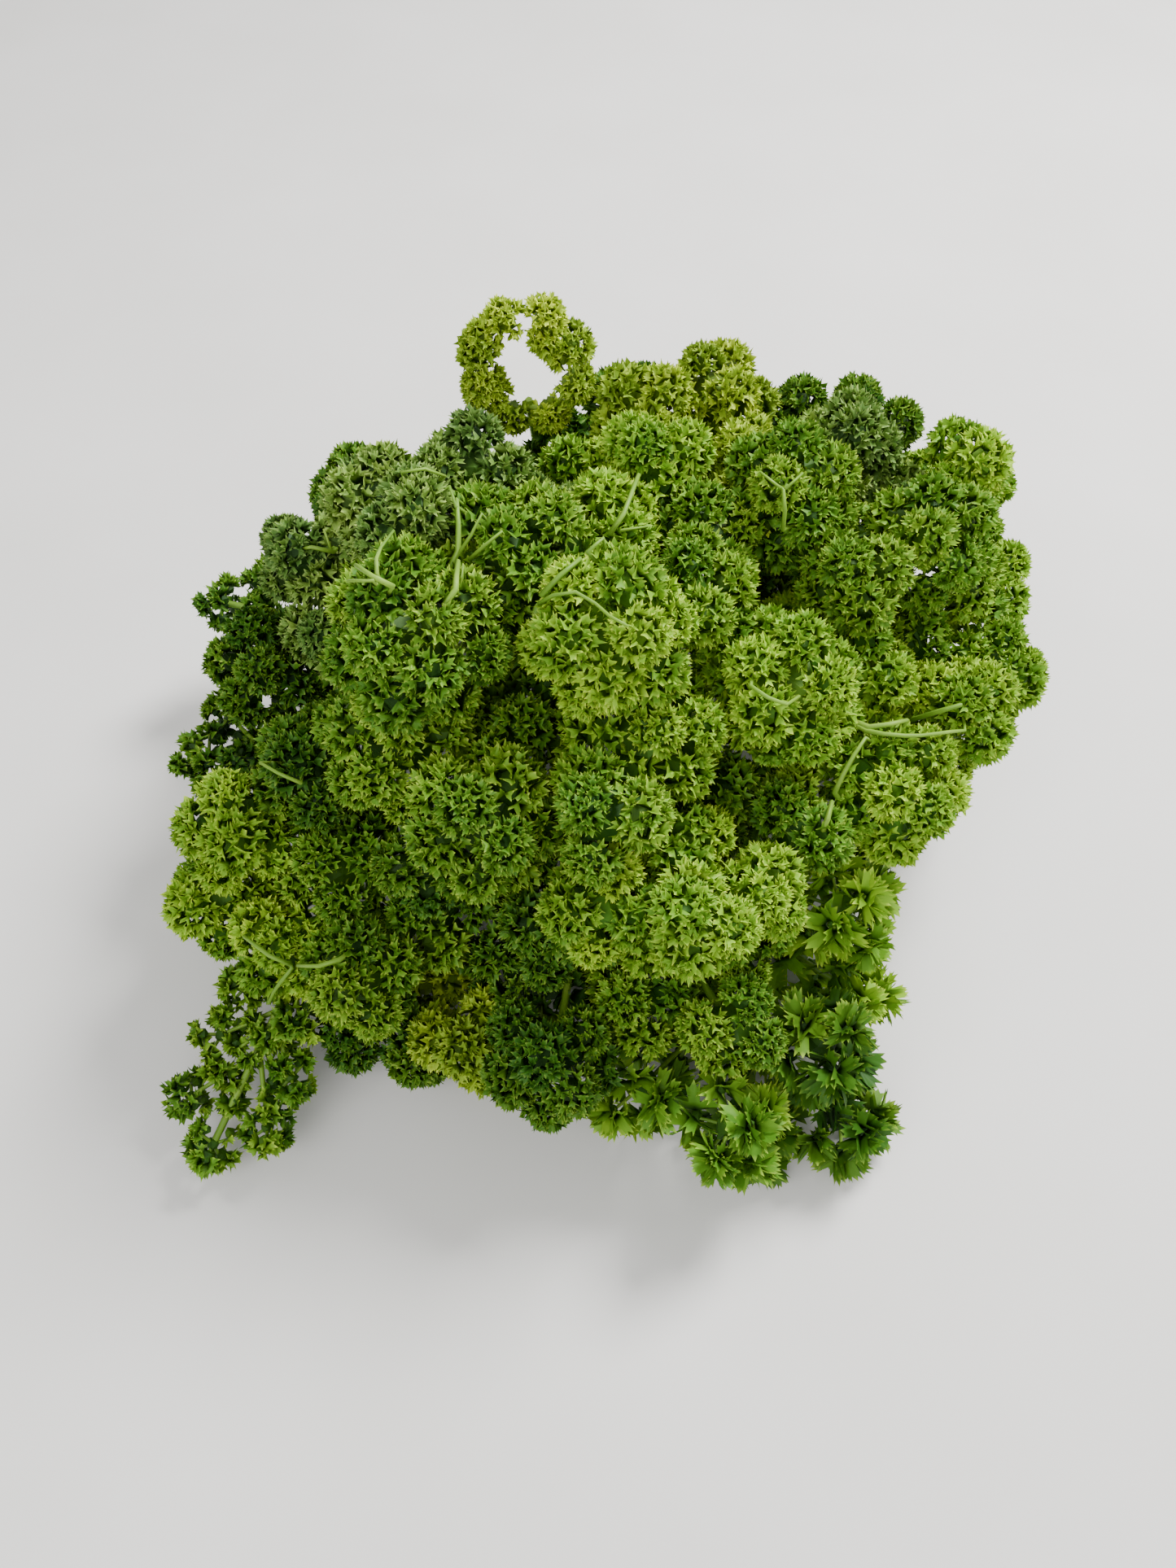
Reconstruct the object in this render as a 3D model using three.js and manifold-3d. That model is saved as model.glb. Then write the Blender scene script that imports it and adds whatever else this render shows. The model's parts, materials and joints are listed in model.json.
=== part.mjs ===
// A bunch of curly parsley, lying down: leafy stems whose cut ends are piled at +Y and whose
// curled heads fan out to the front, the sides and the top. Millimetres, +Z up, Z = 0 is the
// surface that the bunch lies on. Each leafy stem is one solid: a stalk, the branches it divides
// into, and on each branch a tuft of cut leaflets that stand out of a small core.
import * as THREE from "three";
import { mergeVertices } from "three/addons/utils/BufferGeometryUtils.js";
import Module from "manifold-3d";

const wasm = await Module();
wasm.setup();

// ---- Driving dimensions -------------------------------------------------------------------
const STALK_CUT_R = 1.9; // stalk radius at the cut end
const STALK_TOP_R = 1.6; // and where it divides
const BRANCH_R = 0.85; // a branch's radius
const STALK_SIDES = 4;
const BRANCH_SIDES = 3;
const STALK_POINTS = 8; // points along a stalk's path
const FLAT_R = STALK_CUT_R * Math.SQRT1_2; // from a stalk's middle to one of its flat sides
const GAP = 0.5; // clear space kept between two leafy stems
const EASE = GAP + 0.5; // what the stalks are eased apart to, so that the gap is always there
const TUFT_SPACING = 0.72; // least distance of two tufts, as a share of their radii's sum
const TUFT_SINK = 0.5; // height of the lowest tufts' middles, as a share of their radius
const TUFT_ROUNDS = 60;
const STALK_ROUNDS = 120;
const TUFT_HEART = 0.6; // stalks that pass keep out of this share of a tuft's radius
const CORE_SHARE = 0.46; // a tuft's core, as a share of its radius
const TOOTH_SPREAD = 31; // degrees from a leaflet's middle to its outer tooth
const NOTCH_DEPTH = 0.16; // how far a notch is cut in, as a share of the tuft's radius
const FLAT_BELOW = 0.22; // a leaflet that looks further back than this stays low (a cosine)
const RICH_ABOVE = 0.72; // and one that looks further out than this has three teeth, not two
const ANY_TURN = 6.28; // radians: a tuft is turned by up to this much round each axis
const CURL = 0.2; // how far teeth bend to one side and the other, as a share of the radius
const PILE_ROWS = [10, 9, 9, 8, 6]; // stalks in each row of the pile at the cut ends, from below
const PILE_PITCH = 4.5; // between two stalks of a row
const PILE_RISE = 3.9; // between two rows
const CUT_Y = 214; // where the cut ends lie
const CUT_Y_SPREAD = 13;
const NECK_Y = 122; // where the stalks start to part
const NECK_RISE = 3; // and how much they have risen there, for each row of the pile
const HEART = new THREE.Vector3(0, 38, 22); // the heads look away from here
const CENTRE = [4.96, 47.63]; // the middle of the whole bunch's box, which becomes the origin

// Each leafy stem: name, place of its head, plan, tufts, tuft radius, spread, tone, and the way
// the head looks where that isn't straight away from the heart.
const FRONDS = [
  ["loop_back", [-20, 106, 150], "ring", 8, 8.5, 16, "yellow", { look: [0.1, -0.95, 0.3] }],
  ["back_small", [18, 122, 122], "dome", 3, 20, 15, "deep", {}],
  ["back_yellow", [60, 111, 128], "dome", 4, 23, 20, "yellow", {}],
  ["back_right", [90, 117, 114], "dome", 4, 22, 19, "deep", {}],
  ["right_grey", [112, 88, 112], "dome", 3, 24, 19, "pale", {}],
  ["right_far", [132, 94, 100], "dome", 4, 21, 20, "bright", {}],
  ["back_left", [-88, 102, 98], "dome", 3, 22, 18, "deep", {}],
  ["crown_turned", [-33, 50, 154], "dome", 5, 21, 23, "pale", { look: [-0.1, 0.45, 0.9] }],
  ["left_fan", [-93, 56, 108], "dome", 4, 22, 22, "pale", { look: [-0.75, 0.1, 0.5] }],
  ["crown_bright", [18, 54, 146], "dome", 4, 21, 21, "bright", {}],
  ["crown_mid", [61, 58, 134], "dome", 4, 24, 22, "mid", {}],
  ["right_upper", [100, 44, 119], "dome", 4, 24, 22, "mid", {}],
  ["right_edge", [121, 55, 97], "dome", 3, 21, 17, "mid", {}],
  ["big_front", [-44, -14, 140], "dome", 5, 28, 28, "mid", {}],
  ["big_side", [-4, -4, 141], "dome", 4, 26, 20, "bright", {}],
  ["left_outer", [-110, 34, 84], "dome", 4, 24, 22, "deep", {}],
  ["rosette", [30, 17, 134], "dome", 4, 21, 19, "mid", {}],
  ["right_large", [78, 10, 113], "dome", 5, 24, 23, "bright", {}],
  ["right_head", [137, 39, 74], "dome", 5, 24, 26, "bright", {}],
  ["inner_left", [-38, -26, 92], "dome", 3, 24, 18, "deep", {}],
  ["inner_front", [12, -56, 62], "dome", 3, 24, 18, "deep", {}],
  ["inner_right", [42, -6, 92], "dome", 3, 24, 18, "deep", {}],
  ["left_sprig", [-107, 15, 62], "spray", 3, 14, 22, "deep", { look: [-0.85, -0.3, 0.1] }],
  ["left_low", [-122, -39, 56], "dome", 5, 21, 19, "bright", {}],
  ["left_hanging", [-96, -52, 34], "spray", 7, 12, 66, "mid", { look: [-0.4, -0.88, -0.3] }],
  ["left_inner", [-74, -28, 94], "dome", 4, 22, 20, "deep", {}],
  ["left_front", [-66, -62, 66], "dome", 4, 22, 20, "mid", {}],
  ["front_centre", [3, -38, 118], "dome", 4, 21, 19, "mid", {}],
  ["front_bright", [27, -66, 94], "dome", 5, 19, 18, "bright", {}],
  ["front_round", [37, -81, 64], "dome", 4, 19, 14, "mid", {}],
  ["front_dark", [-6, -86, 56], "dome", 4, 24, 21, "deep", {}],
  ["front_yellow", [-40, -80, 30], "dome", 3, 20, 15, "yellow", {}],
  ["left_corner", [-78, -75, 22], "dome", 3, 18, 14, "deep", {}],
  ["front_flat", [45, -103, 22], "dome", 4, 21, 21, "mid", {}],
  ["front_flat_right", [67, -101, 20], "dome", 3, 21, 17, "deep", {}],
  ["right_front", [81, -68, 36], "dome", 4, 22, 20, "bright", {}],
  ["right_low", [62, -27, 88], "dome", 4, 21, 20, "mid", {}],
  ["right_inner", [86, -34, 46], "dome", 3, 19, 14, "bright", {}],
  ["far_left", [-112, 86, 50], "spray", 3, 13, 30, "deep", { look: [-0.9, 0.1, 0.1] }],
  ["back_low_left", [-70, 128, 46], "dome", 4, 24, 21, "mid", {}],
  ["back_low_right", [84, 134, 50], "dome", 4, 24, 21, "deep", {}],
  ["right_floor", [140, 62, 30], "dome", 4, 22, 20, "mid", {}],
];

const TONES = {
  deep: 0x2f5f17,
  mid: 0x46841c,
  bright: 0x68a526,
  yellow: 0x8ba62a,
  pale: 0x6f9a49,
};

// ---- Small helpers ------------------------------------------------------------------------
const vec = (a) => new THREE.Vector3(...a);

// A seeded random number from 0 to 1, the Park-Miller rule.
function seeded(seed) {
  let state = seed % 2147483647;
  return () => {
    state = (state * 16807) % 2147483647;
    return state / 2147483647;
  };
}

// Two directions square to d, the first as level as it can be.
function sideways(d) {
  const level = new THREE.Vector3(-d.y, d.x, 0);
  if (level.length() < 0.05) level.set(1, 0, 0);
  const e1 = level.normalize();
  return [e1, new THREE.Vector3().crossVectors(d, e1).normalize()];
}

// ---- The plan of the bunch ----------------------------------------------------------------
// A head's tufts: where each one sits, how big it is, which way it looks, and how far along the
// last stretch of the stalk its branch leaves. That stretch runs on into the first tuft.
function tuftsOf(f) {
  const { look, plan, count, radius, spread, random } = f;
  const [e1, e2] = sideways(look);
  const around = (angle) =>
    e1.clone().multiplyScalar(Math.cos(angle)).addScaledVector(e2, Math.sin(angle));
  const tufts = [];
  const add = (at, size, out, leaves) =>
    tufts.push({ at, r: size * radius, look: out.clone().normalize(), leaves });
  if (plan === "spray") {
    add(f.middle.clone().addScaledVector(look, spread), 1, look, 0);
    for (let i = 0; i < count - 1; i++) {
      const along = (Math.floor(i / 2) + 0.4 + 0.3 * random()) / (count / 2);
      const out = e1.clone().multiplyScalar(i % 2 ? -1 : 1).addScaledVector(look, 0.6);
      const at = f.middle.clone().addScaledVector(look, along * spread - 0.2 * radius);
      add(at.addScaledVector(out, 1.2 * radius), 0.85 + 0.2 * random(), out, 0.7 * along);
    }
  } else if (plan === "dome") {
    add(f.middle.clone().addScaledVector(look, 0.3 * spread), 1, look, 0);
    const turn = random() * Math.PI;
    for (let i = 0; i < count - 1; i++) {
      const out = around(turn + ((i + 0.3 * random()) / (count - 1)) * 2 * Math.PI);
      const at = f.middle.clone().addScaledVector(out, spread * (0.92 + 0.16 * random()));
      at.addScaledVector(look, -0.3 * spread * random());
      add(at, 0.85 + 0.25 * random(), out.addScaledVector(look, 0.8), 0);
    }
  } else {
    for (let i = 0; i < count; i++) {
      const out = around(((i + 0.5) / count) * 2 * Math.PI - Math.PI / 2);
      add(f.middle.clone().addScaledVector(out, spread), 1, out.addScaledVector(look, 0.4), 0);
    }
  }
  return tufts;
}

// The branches of a head, each as a line of points. A ring has two, which bend round its hole.
function branchesOf(f) {
  if (f.plan === "ring") {
    const half = f.count / 2;
    const at = f.tufts.map((t) => t.at);
    return [[f.hub, ...at.slice(0, half)], [f.hub, ...at.slice(half).reverse()]];
  }
  const [tip, ...others] = f.tufts;
  return others.map((t) => [f.hub.clone().lerp(tip.at, t.leaves), t.at]);
}

// The slot in the pile of cut ends for each leafy stem: low heads take the low rows, and within
// a row the stalks lie in the order of their heads, so that none has to cross another.
function cutEnds(fronds) {
  const rise = (f) => Math.atan2(f.hub.z - 26, NECK_Y + 30 - f.hub.y);
  const order = [...fronds].sort((a, b) => rise(a) - rise(b));
  let taken = 0;
  PILE_ROWS.forEach((size, row) => {
    const members = order.slice(taken, taken + size).sort((a, b) => a.hub.x - b.hub.x);
    taken += size;
    members.forEach((f, i) => {
      const x = (i - (members.length - 1) / 2) * PILE_PITCH;
      const y = CUT_Y + CUT_Y_SPREAD * (2 * f.random() - 1);
      f.cut = new THREE.Vector3(x, y, FLAT_R + row * PILE_RISE);
      f.row = row;
    });
  });
}

// A stalk's path before it is eased clear of the others: one bend, drawn by two points that it
// heads for, the neck of the bunch and a point below its own head. The last stretch runs on into
// the first tuft.
function firstPath(f) {
  const neck = new THREE.Vector3(f.cut.x * 0.95, NECK_Y, f.cut.z + NECK_RISE * f.row);
  const ring = f.plan === "ring";
  const below = ring ? f.hub.clone() : f.hub.clone().addScaledVector(f.look, -f.radius);
  if (ring) below.z -= f.radius;
  const curve = new THREE.CubicBezierCurve3(f.cut, neck, below, f.hub);
  const end = ring ? f.hub.clone().setZ(f.hub.z + 3) : f.tufts[0].at;
  return [...curve.getPoints(STALK_POINTS - 1), end];
}

// The point of segment ab nearest to p.
function nearestOn(a, b, p) {
  const ab = new THREE.Vector3().subVectors(b, a);
  const t = new THREE.Vector3().subVectors(p, a).dot(ab) / ab.lengthSq();
  return a.clone().addScaledVector(ab, Math.min(1, Math.max(0, t)));
}

// How far p has to move to be "keep" away from q: half of what is missing, since the other
// side moves too.
function pushFrom(q, p, keep) {
  const away = new THREE.Vector3().subVectors(p, q);
  const d = away.length();
  return d < keep && d > 1e-6 ? away.multiplyScalar((0.5 * (keep - d)) / d) : away.set(0, 0, 0);
}

// Spaces the tufts evenly, so that none sits in another and none is far below the surface.
function settleTufts(tufts) {
  for (let round = 0; round < TUFT_ROUNDS; round++) {
    const pushes = tufts.map((t) => {
      const push = new THREE.Vector3();
      for (const o of tufts)
        if (o !== t) push.add(pushFrom(o.at, t.at, TUFT_SPACING * (t.r + o.r)));
      return push;
    });
    tufts.forEach((t, i) => {
      t.at.add(pushes[i]);
      t.at.z = Math.max(t.at.z, TUFT_SINK * t.r);
    });
  }
}

// Where two straight lines, from a to b and from c to d, come nearest: a share along each.
function nearestShares(a, b, c, d) {
  const u = new THREE.Vector3().subVectors(b, a);
  const w = new THREE.Vector3().subVectors(d, c);
  const r = new THREE.Vector3().subVectors(a, c);
  const [uu, uw, ww, ru, rw] = [u.dot(u), u.dot(w), w.dot(w), r.dot(u), r.dot(w)];
  const clamp = (x) => Math.min(1, Math.max(0, x));
  const first = clamp((uw * rw - ww * ru) / Math.max(uu * ww - uw * uw, 1e-9));
  const t = clamp((uw * first + rw) / ww);
  return [clamp((uw * t - ru) / uu), t];
}

// Eases the stalks clear of one another and of the other leafy stems' branches and tufts.
function easeStalks(fronds) {
  for (let round = 0; round < STALK_ROUNDS; round++) {
    const bend = round < 0.8 * STALK_ROUNDS ? 0.02 : 0;
    const moves = fronds.map((f) => f.path.map(() => new THREE.Vector3()));
    fronds.forEach((f, n) => {
      for (let i = 0; i + 1 < f.path.length; i++) {
        const [a, b] = [f.path[i], f.path[i + 1]];
        const press = (share, other, keep) => {
          const push = pushFrom(other, a.clone().lerp(b, share), keep);
          moves[n][i].addScaledVector(push, 1 - share);
          moves[n][i + 1].addScaledVector(push, share);
        };
        for (const g of fronds) {
          if (g === f) continue;
          for (const [line, r] of linesOf(g))
            for (let k = 0; k + 1 < line.length; k++) {
              const [s, t] = nearestShares(a, b, line[k], line[k + 1]);
              press(s, line[k].clone().lerp(line[k + 1], t), STALK_CUT_R + r + EASE);
            }
          for (const tuft of g.tufts) {
            const [s] = nearestShares(a, b, tuft.at, tuft.at.clone().setZ(tuft.at.z + 0.01));
            press(s, tuft.at, TUFT_HEART * tuft.r + STALK_CUT_R);
          }
        }
      }
    });
    fronds.forEach((f, n) => {
      const path = f.path.map((p, i) => {
        if (i >= STALK_POINTS - 1) return p;
        const next = p.clone().add(moves[n][i]);
        if (i > 0) next.lerp(f.path[i - 1].clone().lerp(f.path[i + 1], 0.5), bend);
        const lies = f.row === 0 && i < 2;
        return next.setZ(lies ? FLAT_R : Math.max(next.z, FLAT_R));
      });
      f.path = path;
    });
  }
}

// The lines of a leafy stem that others have to stay clear of, with their radii.
function linesOf(f) {
  return [[f.path, STALK_CUT_R], ...f.branches.map((line) => [line, BRANCH_R])];
}

const fronds = FRONDS.map(([name, at, plan, count, radius, spread, tone, extra], i) => {
  const crown = vec(at);
  const look = (extra.look ? vec(extra.look) : crown.clone().sub(HEART)).normalize();
  const f = { name, plan, count, radius, spread, tone, look };
  f.random = seeded(1001 + 7919 * i);
  f.middle = crown.clone().addScaledVector(look, plan === "dome" ? -0.8 * radius : 0);
  f.hub = f.middle.clone();
  if (plan === "dome") f.hub.addScaledVector(look, -0.6 * spread);
  if (plan === "ring") f.hub.z -= spread;
  f.tufts = tuftsOf(f);
  return f;
});
settleTufts(fronds.flatMap((f) => f.tufts));
cutEnds(fronds);
for (const f of fronds) {
  f.branches = branchesOf(f);
  f.path = firstPath(f);
}
easeStalks(fronds);

// ---- Solids -------------------------------------------------------------------------------
function solidFrom(vertices, faces) {
  const mesh = new wasm.Mesh({
    numProp: 3,
    vertProperties: new Float32Array(vertices.flat()),
    triVerts: new Uint32Array(faces.flat()),
  });
  return new wasm.Manifold(mesh);
}

// A tapered stalk or branch along a path, as rings of points joined up and closed at both ends.
function tube(path, r0, r1, sides) {
  const vertices = [];
  const faces = [];
  const along = (i) =>
    new THREE.Vector3()
      .subVectors(path[Math.min(i + 1, path.length - 1)], path[Math.max(i - 1, 0)])
      .normalize();
  let side = sideways(along(0))[0];
  path.forEach((p, i) => {
    const d = along(i);
    side = side.clone().addScaledVector(d, -side.dot(d)).normalize();
    const up = new THREE.Vector3().crossVectors(d, side);
    const r = r0 + (r1 - r0) * (Math.max(0, i - 1) / Math.max(1, path.length - 2));
    for (let k = 0; k < sides; k++) {
      // The first corner points so that one flat side faces down.
      const a = ((k + 0.5) / sides) * 2 * Math.PI - Math.PI / 2;
      const v = p.clone().addScaledVector(side, r * Math.cos(a)).addScaledVector(up, r * Math.sin(a));
      vertices.push(v.toArray());
    }
  });
  const last = vertices.length - sides;
  for (let i = 0; i + 1 < path.length; i++)
    for (let k = 0; k < sides; k++) {
      const a = i * sides + k;
      const b = i * sides + ((k + 1) % sides);
      faces.push([a, b, b + sides], [a, b + sides, a + sides]);
    }
  for (let k = 1; k + 1 < sides; k++) {
    faces.push([0, k + 1, k], [last, last + k, last + k + 1]);
  }
  return solidFrom(vertices, faces);
}

// The corners and faces of a rhombic dodecahedron: each of its 12 faces becomes a leaflet.
const AXES = [
  [1, 0, 0], [-1, 0, 0], [0, 1, 0], [0, -1, 0], [0, 0, 1], [0, 0, -1],
].map((a) => vec(a));
const CUBE = [];
for (const x of [-1, 1])
  for (const y of [-1, 1]) for (const z of [-1, 1]) CUBE.push(vec([x, y, z]).normalize());

// A tuft: twelve fans of two or three teeth round a core. A fan whose middle looks back into the head
// stays low. Each fan's ridge runs between two axes, and its feet are two cube corners.
function tuftSolid(tuft, random, others) {
  const turn = new THREE.Quaternion().setFromEuler(
    new THREE.Euler(random() * ANY_TURN, random() * ANY_TURN, random() * ANY_TURN),
  );
  const place = (direction, r) => {
    const p = direction.clone().applyQuaternion(turn).multiplyScalar(r * tuft.r).add(tuft.at);
    for (const o of others) {
      const past = p.clone().sub(o.point).dot(o.normal);
      if (past > 0) {
        const reach = o.point.clone().sub(tuft.at).dot(o.normal);
        const share = Math.max(0.02, reach / (reach + past));
        p.sub(tuft.at).multiplyScalar(share).add(tuft.at);
      }
    }
    return p.toArray();
  };
  const vertices = [...AXES, ...CUBE].map((d) => place(d, CORE_SHARE * (0.9 + 0.2 * random())));
  const faces = [];
  for (let a = 0; a < 6; a++)
    for (let c = a + 1; c < 6; c++) {
      if (AXES[a].dot(AXES[c]) !== 0) continue;
      const middle = AXES[a].clone().add(AXES[c]).normalize();
      let [b, d] = CUBE.map((v, i) => [v.dot(middle), i + 6])
        .sort((p, q) => q[0] - p[0])
        .slice(0, 2)
        .map((p) => p[1]);
      const A = AXES[a];
      const wide = new THREE.Vector3().subVectors(AXES[c], A).normalize();
      const flip = new THREE.Vector3().crossVectors(wide, CUBE[d - 6].clone().sub(CUBE[b - 6]));
      if (flip.dot(middle) < 0) [b, d] = [d, b];
      const outward = middle.clone().applyQuaternion(turn).dot(tuft.look);
      if (outward < FLAT_BELOW) {
        faces.push([a, b, c], [a, c, d]);
        continue;
      }
      const across = new THREE.Vector3().crossVectors(middle, wide);
      const steps = outward > RICH_ABOVE ? [-1, -0.5, 0, 0.5, 1] : [-0.6, 0, 0.6];
      const ridge = steps.map((s, i) => {
        const tooth = i % 2 === 0;
        const angle = (s * TOOTH_SPREAD * Math.PI) / 180;
        const sway = (random() - 0.5) * 2 * CURL;
        const dir = middle.clone().multiplyScalar(Math.cos(angle));
        dir.addScaledVector(wide, Math.sin(angle)).addScaledVector(across, sway).normalize();
        vertices.push(place(dir, tooth ? 0.86 + 0.14 * random() : 1 - NOTCH_DEPTH - 0.1 * random()));
        return vertices.length - 1;
      });
      const edge = [a, ...ridge, c];
      for (let i = 0; i + 1 < edge.length; i++)
        faces.push([edge[i], b, edge[i + 1]], [edge[i], edge[i + 1], d]);
    }
  return solidFrom(vertices, faces);
}

// The planes that keep a tuft above the surface, clear of the tufts round it and clear of the
// other leafy stems' stalks and branches.
function boundsOf(f, tuft) {
  const planes = [{ point: new THREE.Vector3(), normal: new THREE.Vector3(0, 0, -1) }];
  for (const g of fronds) {
    for (const t of g.tufts) {
      if (t === tuft) continue;
      const away = t.at.clone().sub(tuft.at);
      const d = away.length();
      if (d > tuft.r + t.r + GAP) continue;
      const share = tuft.r / (tuft.r + t.r);
      const normal = away.multiplyScalar(1 / d);
      const point = tuft.at.clone().addScaledVector(normal, d * share - GAP / 2);
      planes.push({ point, normal });
    }
    if (g === f) continue;
    for (const [path, r] of linesOf(g))
      for (let k = 0; k + 1 < path.length; k++) {
        const q = nearestOn(path[k], path[k + 1], tuft.at);
        const normal = q.clone().sub(tuft.at);
        const d = normal.length();
        if (d > tuft.r + r + GAP || d < 1e-6) continue;
        normal.multiplyScalar(1 / d);
        planes.push({ point: tuft.at.clone().addScaledVector(normal, d - r - GAP), normal });
      }
  }
  return planes;
}

function geometryOf(solid) {
  const m = solid.getMesh();
  const positions = new Float32Array(m.numVert * 3);
  for (let i = 0; i < m.numVert; i++)
    positions.set(m.vertProperties.subarray(i * m.numProp, i * m.numProp + 3), i * 3);
  const geometry = new THREE.BufferGeometry();
  geometry.setAttribute("position", new THREE.BufferAttribute(positions, 3));
  geometry.setIndex(new THREE.BufferAttribute(m.triVerts, 1));
  return mergeVertices(geometry, 1e-3);
}

function leafyStem(f) {
  const stalk = tube(f.path, STALK_CUT_R, STALK_TOP_R, STALK_SIDES);
  const branches = f.branches.map((line) => tube(line, BRANCH_R, BRANCH_R, BRANCH_SIDES));
  const tufts = f.tufts.map((t) => tuftSolid(t, f.random, boundsOf(f, t)));
  return wasm.Manifold.union([stalk, ...branches, ...tufts]);
}

// ---- The bunch ----------------------------------------------------------------------------
const bunch = new THREE.Group();
for (const f of fronds) {
  const material = new THREE.MeshStandardMaterial({
    color: TONES[f.tone],
    roughness: 0.55,
    metalness: 0,
  });
  const mesh = new THREE.Mesh(geometryOf(leafyStem(f)), material);
  mesh.name = "stem_" + f.name;
  bunch.add(mesh);
}
bunch.position.set(-CENTRE[0], -CENTRE[1], 0);
export default bunch;
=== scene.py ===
# %% [markdown]
# # A bunch of curly parsley, lying down
#
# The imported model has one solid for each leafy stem: a stalk, its branches, and on each branch a
# tuft of a few large leaflets. Here each solid is dressed. The real thing is the same build at a
# finer grain: a tuft is a group of knobs, and a knob is covered with small ruffled leaflets.
#
# Arithmetic finds the place of every knob and leaflet. Geometry Nodes then sweeps the stalks along
# their lines and copies a leaflet onto each point. The frame comes first.

import json
import math
from types import SimpleNamespace as Namespace

import bpy
import numpy as np
from mathutils import Euler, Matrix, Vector
from numpy.linalg import norm

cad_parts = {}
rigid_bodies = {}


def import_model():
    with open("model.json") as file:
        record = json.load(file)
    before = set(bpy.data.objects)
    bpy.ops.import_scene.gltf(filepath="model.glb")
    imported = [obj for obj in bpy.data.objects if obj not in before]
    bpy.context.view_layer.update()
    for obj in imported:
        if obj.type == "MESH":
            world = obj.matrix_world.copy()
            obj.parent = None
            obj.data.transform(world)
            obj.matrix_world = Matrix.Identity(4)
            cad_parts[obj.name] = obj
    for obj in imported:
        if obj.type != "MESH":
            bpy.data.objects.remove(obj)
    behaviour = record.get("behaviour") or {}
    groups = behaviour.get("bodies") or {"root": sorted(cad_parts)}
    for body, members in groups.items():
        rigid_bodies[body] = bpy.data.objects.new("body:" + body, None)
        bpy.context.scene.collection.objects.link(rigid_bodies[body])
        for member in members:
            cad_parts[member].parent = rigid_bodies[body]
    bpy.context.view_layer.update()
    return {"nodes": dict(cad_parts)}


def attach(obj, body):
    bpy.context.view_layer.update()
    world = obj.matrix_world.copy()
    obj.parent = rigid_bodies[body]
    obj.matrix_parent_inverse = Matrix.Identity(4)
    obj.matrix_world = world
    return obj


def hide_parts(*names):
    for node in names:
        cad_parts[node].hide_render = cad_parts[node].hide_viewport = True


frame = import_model()
print(len(frame["nodes"]), "solids in the frame")

# %% [markdown]
# ## The plan of the bunch
#
# The solids were placed by a short rule from one list: where each head is, which way it looks and
# how many tufts it has. The same list and rule are repeated here, so that every tuft lands where
# its solid is. Lengths in the plan are millimetres.
#
# A head is a dome of tufts, an open ring, or a spray with tufts to both sides of its stalk.

# %% The list of leafy stems
CENTRE = np.array([4.96, 47.63, 0])  # the middle of the bunch's box, which is the frame's origin
HEART = np.array([0, 38, 22])  # the heads look away from here

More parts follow.
